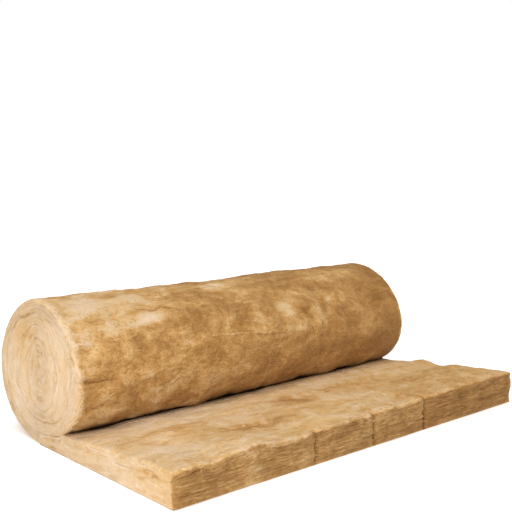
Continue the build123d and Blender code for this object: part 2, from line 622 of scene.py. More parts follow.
def end_section(side):
    """Points of one end as y and z, columns by rows: evenly spaced from the outer side of a column to
    its inner side, which is the free top, the foot one turn later or, in the core, a thinning ply."""
    rim, axis = rim_of(side)
    feet = end_feet(side)
    thin = np.linspace(TURN_PITCH, CORE_PLY, TURN_COLUMNS)
    core_along, core_up = wound(column_turn[FIRST_CORE_COLUMN:], thin)
    free = rim[CORNER_ROW - np.arange(FREE_COLUMNS)]
    core = np.stack([axis + core_along, core_up], -1)
    heads = np.concatenate([free, feet[FREE_COLUMNS + TURN_COLUMNS:], core])
    return feet[:, None] + (heads - feet)[:, None] * through_share[..., None]


def end_reach(grid):
    """Length along the blanket from its free end to each column, in the middle of its thickness."""
    step = np.linalg.norm(np.gradient(grid[:, PLY_ROWS // 2], axis=0), axis=-1)
    return np.concatenate([[0], np.cumsum(step)[:-1]])


print("end columns", LAST_COLUMN + 1, "length of the blanket", end_reach(end_section(-1))[-1].round(2))

# %% Relief of an end
GROOVE_DEPTH, GROOVE_SPREAD = 0.0045, 0.06
GROOVE_LUMPS = (0.5, (0.15, 1, 1), 71, 1)
GROOVE_START = (FREE_COLUMNS - 6, FREE_COLUMNS + 4)
CORE_SHALLOW, SHALLOW_COLUMNS = 0.95, 2.5 * TURN_COLUMNS
PLY_HEIGHT, PLIES_APART = 0.09, 5.0
END_PLIES = (0.0025, (0.09, 0.018, 1), 61, 2)
END_PITS = (0.0022, (0.05, 0.05, 1), 67, 2)
PARTING_DEPTH, PARTING_SHARE, PARTING_COLUMNS = 0.003, (0.74, 0.05), (20, 60)
BORDER_ROWS = (0, 2)


def end_points(side):
    """Points of one end, columns by rows by three. Its depth is the groove between the turns, which
    grows shallow towards the core, a parting near the free end, and plies and pits in between."""
    section = end_section(side)
    column = column_number[:, None]
    run = end_reach(section)[:, None] + 0 * through_share
    along_ply = np.stack(np.broadcast_arrays(run, through_share * PLY_HEIGHT, side * PLIES_APART), -1)
    on_face = np.concatenate([section, np.full_like(section[..., :1], side)], -1)
    to_border = np.minimum(through_share, 1 - through_share)
    shallow = CORE_SHALLOW * ramp(column, LAST_COLUMN - SHALLOW_COLUMNS, LAST_COLUMN)
    groove = np.exp(-to_border / GROOVE_SPREAD) * ramp(column, *GROOVE_START) * (1 - shallow)
    groove = GROOVE_DEPTH * (1 + relief(along_ply, GROOVE_LUMPS)) * groove
    parting = PARTING_DEPTH * bell(through_share, *PARTING_SHARE) * (1 - ramp(column, *PARTING_COLUMNS))
    raised = relief(along_ply, END_PLIES) + relief(on_face, END_PITS)
    depth = groove + parting - raised * ramp(to_border * PLY_ROWS, *BORDER_ROWS)
    return np.concatenate([side * (HALF_WIDTH - depth)[..., None], section], -1)


ends = {side: end_points(side) for side in (-1, 1)}
print("end grid", ends[-1].shape)

# %% [markdown]
# ## Where the wool is pale
# The fresh-cut ends are the palest, because their fibre tips scatter the light. The roll's face is
# the most golden, with pale patches where its top fibres have lifted. Some of the paleness is painted
# shade and light: the wool in the crease is painted dark as its shade, the wool a little way off the
# crease is painted paler as light thrown into that shade, the grooves between the turns on the ends
# are painted golden as their shade, and the skin grows darker to the right, partly its own tone and
# partly painted shade. Each point gets a number from 0, golden, to 1, pale, which the material reads.
# The large patches are listed one by one, and a noise feathers their edges.

# %% Pale patches of the roll
FEATHER_SIZE = (0.05, 0.032, 0.032)
FEATHER_X = 0.012
FEATHER_DEGREES = 3.0
ROLL_CLOUDS = (0.09, (0.10, 0.07, 0.07), 107, 3)
ROLL_STREAKS = 0.12

# Patches: place along the width, winding angle in degrees, half sizes both ways, how much paler
ROLL_PATCHES = (
    (-0.480, 200.0, 0.140, 24.0, 0.54),
    (-0.350, 225.5, 0.048, 5.5, 0.52),
    (-0.392, 229.0, 0.028, 3.0, 0.34),
    (-0.325, 207.0, 0.050, 5.5, 0.34),
    (-0.370, 197.0, 0.045, 4.0, 0.22),
    (-0.417, 193.0, 0.045, 5.0, -0.34),
    (-0.483, 219.0, 0.028, 5.0, -0.30),
    (-0.530, 224.0, 0.025, 5.0, -0.20),
    (-0.526, 250.0, 0.035, 5.0, 0.26),
    (-0.560, 240.5, 0.025, 1.6, 0.30),
    (-0.382, 246.0, 0.030, 3.2, 0.28),
    (-0.412, 254.5, 0.028, 3.2, 0.24),
    (-0.526, 290.0, 0.040, 5.0, -0.14),
    (-0.450, 300.0, 0.120, 25.0, 0.08),
    (-0.260, 251.0, 0.030, 5.0, 0.12),
    (-0.251, 229.0, 0.018, 5.0, -0.26),
    (-0.210, 233.0, 0.020, 5.0, -0.28),
    (-0.185, 211.0, 0.030, 4.0, -0.28),
    (-0.216, 259.0, 0.050, 6.0, -0.24),
    (-0.100, 196.0, 0.100, 6.0, 0.25),
    (-0.075, 237.0, 0.030, 9.0, -0.24),
    (-0.010, 212.0, 0.060, 8.0, 0.20),
    (-0.060, 268.0, 0.160, 10.0, -0.10),
    (0.154, 226.0, 0.056, 9.0, 0.34),
    (0.094, 238.0, 0.046, 10.0, 0.24),
    (0.148, 257.0, 0.058, 9.0, 0.34),
    (0.180, 238.0, 0.170, 26.0, 0.07),
    (0.150, 188.0, 0.280, 12.0, 0.12),
    (-0.016, 238.0, 0.012, 12.0, 0.20),
    (0.166, 243.0, 0.017, 5.0, -0.40),
    (0.195, 231.0, 0.012, 7.0, -0.30),
    (0.225, 245.0, 0.020, 14.0, 0.32),
    (0.250, 231.0, 0.010, 9.0, -0.26),
    (0.276, 238.0, 0.020, 13.0, 0.30),
    (0.303, 245.0, 0.012, 9.0, -0.26),
    (0.335, 232.0, 0.022, 11.0, 0.28),
    (0.305, 203.0, 0.065, 7.0, 0.28),
    (0.450, 199.0, 0.060, 6.0, 0.22),
    (0.400, 267.0, 0.045, 6.0, 0.34),
    (0.380, 246.0, 0.022, 7.0, 0.22),
    (0.470, 240.0, 0.050, 14.0, -0.10),
    (0.260, 282.0, 0.080, 9.0, -0.14),
    (0.490, 287.0, 0.080, 12.0, -0.18),
    (0.550, 245.0, 0.060, 55.0, -0.42),
)


def patches(table, across, along):
    """Sum over a table of patches: the amount of each, times a bell across and a bell along."""
    return sum(amount * bell(across, place, wide) * bell(along, level, tall)
               for place, level, wide, tall, amount in table)


def roll_pale(points):
    """Paleness that patches with feathered edges, soft clouds and combed streaks add on the roll."""
    x = points[..., 0]
    feathered_x = x + FEATHER_X * lumps(points, FEATHER_SIZE, 113, 3)
    feathered_turn = turn_degrees + FEATHER_DEGREES * lumps(points, FEATHER_SIZE, 117, 3)
    placed = patches(ROLL_PATCHES, feathered_x, feathered_turn)
    return placed + relief(points, ROLL_CLOUDS) + ROLL_STREAKS * combed(x, octaves=3)


print("patches on the roll", len(ROLL_PATCHES))

# %% Pale patches of the free top
TOP_FEATHER_X = 0.040
TOP_FEATHER_Y = 0.020

# Patches: place along the width, place towards the free end, half sizes both ways, how much paler
TOP_PATCHES = (
    (-0.037, -0.129, 0.070, 0.032, -0.40),
    (-0.219, -0.253, 0.060, 0.024, -0.30),
    (-0.295, -0.236, 0.060, 0.024, -0.28),
    (0.180, -0.118, 0.070, 0.030, -0.34),
    (0.330, -0.200, 0.070, 0.030, -0.20),
    (-0.420, -0.110, 0.110, 0.028, -0.18),
    (0.050, -0.200, 0.100, 0.030, 0.12),
    (-0.510, -0.250, 0.060, 0.060, 0.30),
    (0.111, -0.128, 0.014, 0.010, 0.40),
)


def top_pale(points):
    """Paleness that the patches add on the free top, with feathered edges."""
    x = points[..., 0] + TOP_FEATHER_X * lumps(points, FEATHER_SIZE, 119, 3)
    y = points[..., 1] + TOP_FEATHER_Y * lumps(points, FEATHER_SIZE, 121, 3)
    return patches(TOP_PATCHES, x, y)


print("patches on the free top", len(TOP_PATCHES))

# %% Paleness of the ends
END_PALE = 0.78
END_CLOUDS = (0.04, (0.05, 0.05, 0.05), 83, 2)
# Painted shade: the grooves between the turns are painted darker and more golden, as their warm shade
GROOVE_PAINTED_SHADE, GROOVE_SHADE_DEPTH = 0.27, (0.002, 0.0055)
FREE_GOLDEN, FREE_GOLDEN_COLUMNS = 0.10, (FREE_COLUMNS - 30, FREE_COLUMNS + 10)

# Golden spots: place from the axis, height, half sizes both ways, how much paler
END_SPOTS = (
    (0.090, 0.250, 0.045, 0.045, -0.15),
    (0.035, 0.265, 0.035, 0.035, -0.13),
)


def end_pale(grid):
    """Paleness of an end: pale all over, with soft clouds and golden spots, more golden on the side of
    the free stretch, and painted darker and more golden in the grooves between the turns as their shade."""
    depth = HALF_WIDTH - np.abs(grid[..., 0])
    spots = patches(END_SPOTS, grid[..., 1] - axis_y(grid[..., 0]), grid[..., 2])
    # Painted shade in the grooves between the turns
    golden = GROOVE_PAINTED_SHADE * ramp(depth, *GROOVE_SHADE_DEPTH)
    golden = golden + FREE_GOLDEN * (1 - ramp(column_number, *FREE_GOLDEN_COLUMNS))[:, None]
    return END_PALE + relief(grid, END_CLOUDS) + spots - golden


print("left end paleness", end_pale(ends[-1]).mean().round(2))

# %% Paleness of the skin
PALE_BY_REGION = (0.5, 0.255, 0.56, 0.275)
# Darker to the right: partly the wool's own tone, partly painted shade where the light falls off
TONE_AND_SHADE_LOST_TO_RIGHT = (0.0, 0.17, 0.14, 0.27)
TO_RIGHT = (-0.3, 0.4)
LEAST_PALE = -0.15
# Painted light: the roll's belly above the crease and the free top beside it are painted paler, as light
# thrown into the crease's shade
BELLY_PAINTED_LIGHT, BELLY_LIGHT_ROWS = 0.105, (20, 46)
CREASE_PAINTED_LIGHT, CREASE_LIGHT_ROWS = 0.15, (12, 50)
# Painted shade: the wool in the crease is painted dark, almost black at its middle, with a ragged edge,
# fading out near both rims
PAINTED_CREASE_SHADE, PAINTED_SHADE_ROWS, PAINTED_SHADE_FADE = 1.7, (0, 8.5, 5.5, 0), (0, 4)
PAINTED_SHADE_RAGGED = (1.6, (0.045, 0.5, 0.5), 127, 3)
PAINTED_SHADE_REACH = (0.11, 0.02)
RIM_RAGGED = (0.008, (0.03, 0.022, 0.022), 131, 2)
RIM_PALE_REACH = (0.016, 0.004)
RIM_PALE = (0.2, 0.8, 0.25, 0.25)

# Darker to the right, partly the wool's own tone and partly painted shade
skin_pale_and_painted_light = by_region(*PALE_BY_REGION) - by_region(*TONE_AND_SHADE_LOST_TO_RIGHT) * ramp(stations, *TO_RIGHT)
skin_pale_and_painted_light = skin_pale_and_painted_light + by_region(0, roll_pale(skin), top_pale(skin), 0)
skin_pale_and_painted_light = np.maximum(skin_pale_and_painted_light, LEAST_PALE)
# Painted light on the roll's belly and the free top beside the crease
painted_belly_light = BELLY_PAINTED_LIGHT * (1 - ramp(from_crease, *BELLY_LIGHT_ROWS))
painted_crease_light = CREASE_PAINTED_LIGHT * (1 - ramp(from_crease, *CREASE_LIGHT_ROWS))
skin_pale_and_painted_light = skin_pale_and_painted_light + by_region(0, painted_belly_light, painted_crease_light, 0)
# Painted shade of the crease, taken off the paleness
crease_shade_level = by_region(*PAINTED_SHADE_ROWS) + relief(skin, PAINTED_SHADE_RAGGED) - from_crease
crease_shade_mask = ramp(crease_shade_level, *PAINTED_SHADE_FADE) * (1 - near_rim(stations, *PAINTED_SHADE_REACH))
skin_pale_and_painted_light = skin_pale_and_painted_light - PAINTED_CREASE_SHADE * crease_shade_mask
on_rim = near_rim(np.abs(stations) + relief(skin, RIM_RAGGED), *RIM_PALE_REACH)
skin_pale_and_painted_light = skin_pale_and_painted_light + (END_PALE - skin_pale_and_painted_light) * on_rim * by_region(*RIM_PALE)
print("paleness from", skin_pale_and_painted_light.min().round(2), "to", skin_pale_and_painted_light.max().round(2))

# %% [markdown]
# ## One closed mesh
# The skin's grid closes on itself around the outline. Each end grid reuses the skin's rim points and
# its own neighbours' points, so we number the points first, and then write every square as four
# numbers. The core is closed by a fan of triangles. Merging doubles afterwards would also work, but
# it can join points that only lie close to each other.


# %% Point numbers
def squares(grid):
    """The four corners of every square of a grid, in order around it."""
    corners = (grid[:-1, :-1], grid[1:, :-1], grid[1:, 1:], grid[:-1, 1:])
    return np.stack(corners, 2).reshape(-1, 4, *grid.shape[2:])


def facing(side, corners):
    """Corners in the order that makes the faces of one end point outwards."""
    return corners if side > 0 else corners[:, ::-1]


def end_numbers(side, first_new):
    """Point number for every column and row of an end, and which points are new. Rim points have the
    skin's numbers, and a column's head past the crease has that of the foot one turn later."""
    count = len(stations)
    rim = np.arange(ROWS) * count + (0 if side < 0 else count - 1)
    free = np.arange(FREE_COLUMNS)
    shared = np.arange(FREE_COLUMNS, FIRST_CORE_COLUMN)
    number = np.full((LAST_COLUMN + 1, PLY_ROWS + 1), -1)
    number[:CREASE_ROW + 1, 0] = rim[:CREASE_ROW + 1]
    number[free, PLY_ROWS] = rim[CORNER_ROW - free]
    number[0, 1:PLY_ROWS] = rim[ROWS - np.arange(1, PLY_ROWS)]
    own = number < 0
    own[shared, PLY_ROWS] = False
    number[own] = first_new + np.arange(own.sum())
    number[shared, PLY_ROWS] = number[shared + TURN_COLUMNS, 0]
    return number, own


skin_number = np.arange(ROWS * len(stations)).reshape(ROWS, len(stations))
skin_squares = squares(np.concatenate([skin_number, skin_number[:1]]))
print("skin squares", len(skin_squares))

# %% [markdown]
# ## Fibre coordinates
# Spun wool lies in layers, and its streaks run along them. So every face gets two coordinates: how
# far along the fibres it is, and how far through the layers. On the skin that is along the width and
# around the outline, and on the ends along the winding and through the ply.

# %% Fibre coordinates
LAYER_FINENESS = (1.0, 0.9, 0.6, 3.5)
END_FINENESS = 2.6
END_LAYER_START = 5


def skin_layers():
    """Way around the outline to each row, and back to the first: the mean length from row to row,
    times how fine the layers are there."""
    step_y = np.diff(skin_y, axis=0, append=skin_y[:1])
    step_z = np.diff(skin_z, axis=0, append=skin_z[:1])
    step = np.hypot(step_y, step_z).mean(1) * by_region(*LAYER_FINENESS)[:, 0]
    return np.concatenate([[0], np.cumsum(step)])


def end_layers(side):
    """Fibre coordinate through the thickness of the blanket on an end."""
    return END_LAYER_START + side + np.arange(PLY_ROWS + 1) / PLY_ROWS * TURN_PITCH * END_FINENESS


def fibre_grid(along, through):
    """The two fibre coordinates at every crossing of a grid."""
    return np.stack(np.broadcast_arrays(along, through), -1)


skin_run = fibre_grid(stations[None, :], skin_layers()[:, None])
end_run = {side: fibre_grid(end_reach(ends[side])[:, None], end_layers(side)) for side in ends}
print("way around the outline", skin_layers()[-1].round(2))


# %% Mesh
def make_piece(name, corners, walls, triangles, smooth=True):
    """A new mesh object from arrays of points, squares and triangles. smooth says which faces are
    shaded smoothly: all of them, or one answer for each."""
    mesh = bpy.data.meshes.new(name)
    sizes = np.repeat([4, 3], [len(walls), len(triangles)])
    mesh.vertices.add(len(corners))
    mesh.vertices.foreach_set("co", np.asarray(corners, dtype=np.float32).ravel())
    mesh.loops.add(int(sizes.sum()))
    used = np.concatenate([walls.ravel(), triangles.ravel()])
    mesh.loops.foreach_set("vertex_index", used.astype(np.int32))
    mesh.polygons.add(len(sizes))
    mesh.polygons.foreach_set("loop_start", (np.cumsum(sizes) - sizes).astype(np.int32))
    mesh.polygons.foreach_set("use_smooth", np.broadcast_to(smooth, len(sizes)).copy())
    mesh.update(calc_edges=True)
    mesh.validate()
    piece = bpy.data.objects.new(name, mesh)
    scene.collection.objects.link(piece)
    print(name, "points", len(corners), "triangles", int((sizes - 2).sum()))
    return piece


def dress(piece, pale, run):
    """Gives a piece its paleness, one number a point, and its fibre coordinates, two a corner."""
    paleness = piece.data.attributes.new("pale", "FLOAT", "POINT")
    paleness.data.foreach_set("value", np.asarray(pale, dtype=np.float32))
    layer = piece.data.uv_layers.new(name="fibre_run")
    layer.uv.foreach_set("vector", np.asarray(run, dtype=np.float32).ravel())


# %% Blanket
points, pales = [skin.reshape(-1, 3)], [skin_pale_and_painted_light.ravel()]
faces, runs, fans = [skin_squares], [squares(skin_run)], []
total = skin_number.size
for side, grid in ends.items():
    number, own = end_numbers(side, total)
    total += own.sum()
    inner_side = number[FIRST_CORE_COLUMN - 1:, PLY_ROWS]
    loop = np.concatenate([inner_side, number[LAST_COLUMN, 1:PLY_ROWS][::-1]])
    fan = np.stack([loop, np.roll(loop, -1), np.full_like(loop, total)], -1)
    middle = grid[FIRST_CORE_COLUMN - 1:, PLY_ROWS].mean(0)
    points += [grid[own], middle[None]]
    pales += [end_pale(grid)[own], [END_PALE]]
    faces.append(facing(side, squares(number)))
    runs.append(facing(side, squares(end_run[side])))
    fans.append(facing(side, fan))
    total += 1

points, fans = np.concatenate(points), np.concatenate(fans)
blanket = make_piece("wool_blanket_skin", points, np.concatenate(faces), fans)
fan_runs = points[fans.ravel()][:, 1:] * (1, END_FINENESS)
dress(blanket, np.concatenate(pales), np.concatenate([np.concatenate(runs).reshape(-1, 2), fan_runs]))

# %% [markdown]
# ## Glass wool
# Spun glass with a tan binder is golden where it is dense and pale where the fibres are loose. One
# node group makes the tone from several patterns: blotches, clumps and crinkles placed in space, and
# streaks that follow the fibre coordinates, bent by a slow drift and crossed in places by others. The
# paleness shifts the tone, and calms the patterns where the wool is pale. The same patterns give the
# height for the bump, so light and shade follow the colour. Keeping all that in one group with named
# sockets leaves the material itself short.

# %% Node helpers
PATTERN_ROUGHNESS = 0.6


def calc(tree, operation, *values):
    """Result of a Math node on values or sockets."""
    return node(tree, "ShaderNodeMath", dict(enumerate(values)), operation=operation).outputs[0]


def vector_calc(tree, operation, *values):
    """Result of a Vector Math node on vectors or sockets."""
    made = node(tree, "ShaderNodeVectorMath", dict(enumerate(values)), operation=operation)
    return made.outputs["Vector"]


def weighted(tree, sockets, weights):
    """Weighted sum of sockets."""
    total = 0.0
    for socket, weight in zip(sockets, weights):
        total = calc(tree, "MULTIPLY_ADD", socket, weight, total)
    return total


def pattern(tree, vector, stretch, detail, distortion):
    """Noise on a vector that is first multiplied by stretch: a small number makes long streaks."""
    scaled = vector_calc(tree, "MULTIPLY", vector, stretch)
    inputs = {"Vector": scaled, "Scale": 1.0, "Detail": detail, "Roughness": PATTERN_ROUGHNESS,
              "Distortion": distortion}
    return node(tree, "ShaderNodeTexNoise", inputs).outputs["Fac"]


# %% Wool tone group
# Patterns: stretch along the three directions, detail and distortion
BLOTCHES = ((7.0, 9.0, 9.0), 4.0, 0.7)
CLUMPS = ((24.0, 32.0, 32.0), 2.5, 0.9)
FINE_CRINKLES = ((62.0, 78.0, 78.0), 3.0, 1.2)
LONG_STREAKS = ((10.0, 42.0, 1.0), 4.0, 1.0)
CROSS_STREAKS = ((11.0, 40.0, 1.0), 4.0, 1.0)
FINE_STREAKS = ((110.0, 420.0, 1.0), 3.0, 0.6)
CROSSINGS = ((3.0, 4.0, 4.0), 2.0, 0.0)
DRIFT_STRETCH, DRIFT_DETAIL, DRIFT_REACH = (5.0, 6.0, 6.0), 2.0, (0.10, 0.10, 0.10)
CROSS_TURN = radians(55)
CROSS_SHARE = (0.46, 0.60)

# Weights of the patterns in the mottle, and in the height for the bump
VEIL_WEIGHTS, VEIL_FADE = (1.0, 0.30, 0.25), (0.66, 0.96)
MOTTLE_WEIGHTS, MOTTLE_MEAN = (0.30, 0.07, 0.36, 0.32, 0.34, 0.24), 0.825
HEIGHT_WEIGHTS = (0.8, 1.2, 0.9, 0.55)

# How strong the mottle is: from golden to pale, and from the left end of the roll to the right
MOTTLE_BY_PALE = (0.36, 0.8, 1.1, 0.27)
MOTTLE_ACROSS = (-HALF_WIDTH, HALF_WIDTH, 1.3, 0.85)
PALE_WEIGHT, TONE_BASE = 0.60, 0.195
ROUGHNESS_BY_TONE = (0.3, 0.8, 0.8, 1.0)

# Tones of the wool from dense binder to loose fibre: level and colour. The first, almost black, is the
# painted shade of the crease.
WOOL_TONES_AND_PAINTED_SHADE = (
    (-0.50, (0.05, 0.024, 0.007)),
    (0.02, (0.265, 0.120, 0.027)),
    (0.26, (0.398, 0.205, 0.062)),
    (0.42, (0.532, 0.306, 0.109)),
    (0.54, (0.613, 0.404, 0.197)),
    (0.66, (0.665, 0.481, 0.300)),
    (0.80, (0.71, 0.562, 0.404)),
)
TONE_SCALE = 0.65
TONE_SHIFT = 0.34
FLOAT, VECTOR, COLOR = "NodeSocketFloat", "NodeSocketVector", "NodeSocketColor"
GROUP_INPUTS = (("Place", VECTOR), ("Run", VECTOR), ("Pale", FLOAT))
GROUP_OUTPUTS = (("Color", COLOR), ("Height", FLOAT), ("Roughness", FLOAT))


def streaks(tree, place, run):
    """Broad and fine streaks along the fibres, which a slow drift bends. In some places the broad ones
    are turned across."""
    slow = vector_calc(tree, "MULTIPLY", place, DRIFT_STRETCH)
    drift = node(tree, "ShaderNodeTexNoise", {"Vector": slow, "Scale": 1.0, "Detail": DRIFT_DETAIL})
    bent = vector_calc(tree, "MULTIPLY_ADD", drift.outputs["Color"], DRIFT_REACH, run)
    turn = node(tree, "ShaderNodeVectorRotate", {"Vector": bent, "Angle": CROSS_TURN},
                rotation_type="Z_AXIS")
    crossed = mapped(tree, pattern(tree, place, *CROSSINGS), *CROSS_SHARE)
    long_ones = pattern(tree, bent, *LONG_STREAKS)
    cross_ones = pattern(tree, turn.outputs["Vector"], *CROSS_STREAKS)
    broad = node(tree, "ShaderNodeMix", {0: crossed, 2: long_ones, 3: cross_ones}).outputs[0]
    return broad, pattern(tree, bent, *FINE_STREAKS)


def tone_colour(tree, tone):
    """Colour of a tone: a ramp through the wool's tones, down to the near black of the painted crease
    shade, squeezed so that they fit between 0 and 1.
    """
    squeezed = calc(tree, "MULTIPLY_ADD", tone, TONE_SCALE, TONE_SHIFT)
    colour = node(tree, "ShaderNodeValToRGB", {0: squeezed})
    stops = colour.color_ramp.elements
    for index, (level, shade) in enumerate(WOOL_TONES_AND_PAINTED_SHADE):
        position = TONE_SHIFT + TONE_SCALE * level
        stop = stops[index] if index < len(stops) else stops.new(position)
        stop.position = position
        stop.color = (*shade, 1)
    return colour.outputs["Color"]


def wool_tone_group():
    """Place and Run in metres, Pale from 0 to 1: gives Color, Height and Roughness."""
    group = bpy.data.node_groups.new("wool_tone", "ShaderNodeTree")
    for name, kind in GROUP_INPUTS:
        group.interface.new_socket(name, in_out="INPUT", socket_type=kind)
    for name, kind in GROUP_OUTPUTS:
        group.interface.new_socket(name, in_out="OUTPUT", socket_type=kind)
    place, run, pale = (node(group, "NodeGroupInput").outputs[name] for name, kind in GROUP_INPUTS)
    blotch, clump, crinkle = (pattern(group, place, *kind) for kind in (BLOTCHES, CLUMPS, FINE_CRINKLES))
    streak, fine = streaks(group, place, run)
    feathered = weighted(group, (blotch, streak, clump), VEIL_WEIGHTS)
    veil = mapped(group, feathered, *VEIL_FADE, interpolation_type="SMOOTHSTEP")
    mottle = weighted(group, (blotch, veil, clump, crinkle, streak, fine), MOTTLE_WEIGHTS)
    mottle = calc(group, "SUBTRACT", mottle, MOTTLE_MEAN)
    mottle = calc(group, "MULTIPLY", mottle, mapped(group, pale, *MOTTLE_BY_PALE))
    across = node(group, "ShaderNodeSeparateXYZ", {0: place}).outputs["X"]
    mottle = calc(group, "MULTIPLY", mottle, mapped(group, across, *MOTTLE_ACROSS))
    tone = calc(group, "ADD", weighted(group, (mottle, pale), (1.0, PALE_WEIGHT)), TONE_BASE)
    node(group, "NodeGroupOutput", {
        "Color": tone_colour(group, tone),
        "Height": weighted(group, (streak, clump, crinkle, fine), HEIGHT_WEIGHTS),
        "Roughness": mapped(group, tone, *ROUGHNESS_BY_TONE),
    })
    return group


wool_tone = wool_tone_group()
print("wool tone nodes", len(wool_tone.nodes))

# %% [markdown]
# ## The wool's shader
# Glass wool is matt, with a faint sheen where fibres catch the light. The group's colour, roughness
# and height go into one shader. What is the same all over, such as the sheen, is set on the shader
# itself, because a finish that is exported keeps it only there.

# %% Wool material
BUMP_STRENGTH = 0.9
BUMP_DISTANCE = 0.006
WOOL_SPECULAR = 0.06
WOOL_SHEEN = 0.06


def wool_material(name):
    """Glass wool: the tone group drives colour, roughness and bump of a matt shader with a sheen."""
    material = bpy.data.materials.new(name)
    material.use_nodes = True
    tree = material.node_tree
    shader = tree.nodes["Principled BSDF"]
    shader.inputs["Specular IOR Level"].default_value = WOOL_SPECULAR
    shader.inputs["Sheen Weight"].default_value = WOOL_SHEEN
    place = node(tree, "ShaderNodeTexCoord").outputs["Object"]
    run = node(tree, "ShaderNodeUVMap", uv_map="fibre_run").outputs["UV"]
    pale = node(tree, "ShaderNodeAttribute", attribute_name="pale").outputs["Fac"]
    tone = node(tree, "ShaderNodeGroup", node_tree=wool_tone)
    for socket, value in (("Place", place), ("Run", run), ("Pale", pale)):
        tree.links.new(value, tone.inputs[socket])
    bump = node(tree, "ShaderNodeBump", {
        "Strength": BUMP_STRENGTH, "Distance": BUMP_DISTANCE, "Height": tone.outputs["Height"]})
    tree.links.new(tone.outputs["Color"], shader.inputs["Base Color"])
    tree.links.new(tone.outputs["Roughness"], shader.inputs["Roughness"])
    tree.links.new(bump.outputs["Normal"], shader.inputs["Normal"])
    return material


glass_wool = wool_material("glass_wool")
blanket.data.materials.append(glass_wool)
print("material", glass_wool.name)

# %% [markdown]
# ## Strands
# Spun wool is never closed like felt: flat bundles of fibre lie on it every way, and along the layers
# on cut faces. A particle system could scatter them, but it would not be a mesh. Here each bundle is
# a closed strand: a low lens carried along a short path over the surface, widest in the middle, with
# its edges and tips sunk in the wool. Every point of a strand is placed on the wool below it and
# takes its paleness and fibre coordinates, so the edges melt in, and the crown may be paler or more
# golden. All the strands of a kind share one mesh.

# %% Ground below a strand
GROUND_PARTS = [3, 6, 8]
TINY = 1e-9
LAST_CELL = 1.001


def unit(vectors):
    """Vectors scaled to a length of one."""
    return vectors / np.maximum(np.linalg.norm(vectors, axis=-1, keepdims=True), TINY)


def ground(grid, side, run, pale):
    """All that a strand needs to know of a grid, side by side: its points, normals, fibre
    coordinates and paleness."""
    normals = side * unit(np.cross(np.gradient(grid, axis=0), np.gradient(grid, axis=1)))
    return np.concatenate([grid, normals, run, pale[..., None]], -1)


def on_grid(grid, row, column):
    """Blend of the four values of a grid around each fractional row and column."""
    row = np.clip(row, 0, grid.shape[0] - LAST_CELL)
    column = np.clip(column, 0, grid.shape[1] - LAST_CELL)
    r, c = np.floor(row).astype(int), np.floor(column).astype(int)
    u, v = (row - r)[..., None], (column - c)[..., None]
    near = grid[r, c] * (1 - u) + grid[r + 1, c] * u
    far = grid[r, c + 1] * (1 - u) + grid[r + 1, c + 1] * u
    return near * (1 - v) + far * v


skin_ground = ground(skin, 1, skin_run[:-1], skin_pale_and_painted_light)
row_step = np.linalg.norm(np.gradient(skin, axis=0), axis=-1).mean(1)
station_number = np.arange(len(stations))


def over_skin(x, row):
    """Ground values at places along the width and fractional rows of the skin."""
    return on_grid(skin_ground, row, np.interp(x, stations, station_number))


print("ground values for each point of the skin", skin_ground.shape[-1])

# %% Strands
STRAND_SECTIONS = 7
SUNK = 0.0005
TIP_SUNK = 0.15
TIP_ANGLE = radians(86)

# Rings of a strand: place across as a share of the width, height as a share of the thickness or how
# deep it is sunk, and its share of the extra paleness. A lip has one steep side.
LENS = np.array([
    (0.5, -1, 0), (0.27, 0.7, 0.8), (0.0, 1.0, 1.0), (-0.27, 0.7, 0.8), (-0.5, -1, 0), (0.0, -2, 0)])
LIP = np.array([
    (0.5, -1, 0), (0.25, 0.4, 0.5), (-0.1, 0.8, 0.9), (-0.4, 1.0, 1.0), (-0.5, 0.5, 0.2), (-0.3, -2, 0)])


def each(values):
    """One value for each strand, ready to meet its sections and ring points."""
    return values[:, None, None]


def half_sine(sections):
    """How wide a strand is along its length: the root of a half sine, almost 0 at both tips."""
    return np.sqrt(np.cos(np.linspace(-1, 1, sections) * TIP_ANGLE))[None, :, None]


def tube_faces(count, sections, ring):
    """Squares of the walls and triangles of the tips for closed tubes whose points are numbered tube
    by tube, section by section and around the ring."""
    number = np.arange(count * sections * ring).reshape(count, sections, ring)
    after = np.roll(number, -1, 2)
    walls = np.stack([number[:, :-1], after[:, :-1], after[:, 1:], number[:, 1:]], -1).reshape(-1, 4)
    fan = np.stack([np.zeros(ring - 2, int), np.arange(1, ring - 1), np.arange(2, ring)], -1)
    tips = np.concatenate([number[:, 0][:, fan[:, ::-1]], number[:, -1][:, fan]]).reshape(-1, 3)
    return walls, tips


def tube_piece(name, corners, pale, run, smooth_ring, smooth_tips):
    """A piece of closed tubes from the points, paleness and fibre coordinates of their rings.
    smooth_ring says which walls around a ring are shaded smoothly, and smooth_tips if the tips are."""
    count, sections, ring = corners.shape[:3]
    walls, tips = tube_faces(count, sections, ring)
    smooth_walls = np.broadcast_to(smooth_ring, (count, sections - 1, ring)).ravel()
    smooth = np.concatenate([smooth_walls, np.full(len(tips), smooth_tips)])
    piece = make_piece(name, corners.reshape(-1, 3), walls, tips, smooth)
    used = np.concatenate([walls.ravel(), tips.ravel()])
    dress(piece, pale.ravel(), run.reshape(-1, 2)[used])
    return piece


def strand_piece(name, below, thick, extra_pale, section=LENS):
    """Closed strands from the ground values below them, strands by sections by ring points. A ring
    point above the ground stands its share of the thickness proud, and one below it is sunk. The
    buried faces are shaded flat, so that they don't darken the edges of those above."""
    place, normal, run, pale = np.split(below, GROUND_PARTS, -1)
    across, height, tint = section.T
    taper = half_sine(below.shape[1])
    swell = (taper ** 2 - TIP_SUNK) / (1 - TIP_SUNK)
    rise = np.where(height > 0, height * each(thick) * swell, height * SUNK)
    crown = tint * taper * each(extra_pale)
    shown = (height >= 0) | (np.roll(height, -1) >= 0)
    return tube_piece(name, place + normal * rise[..., None], pale[..., 0] + crown, run, shown, False)


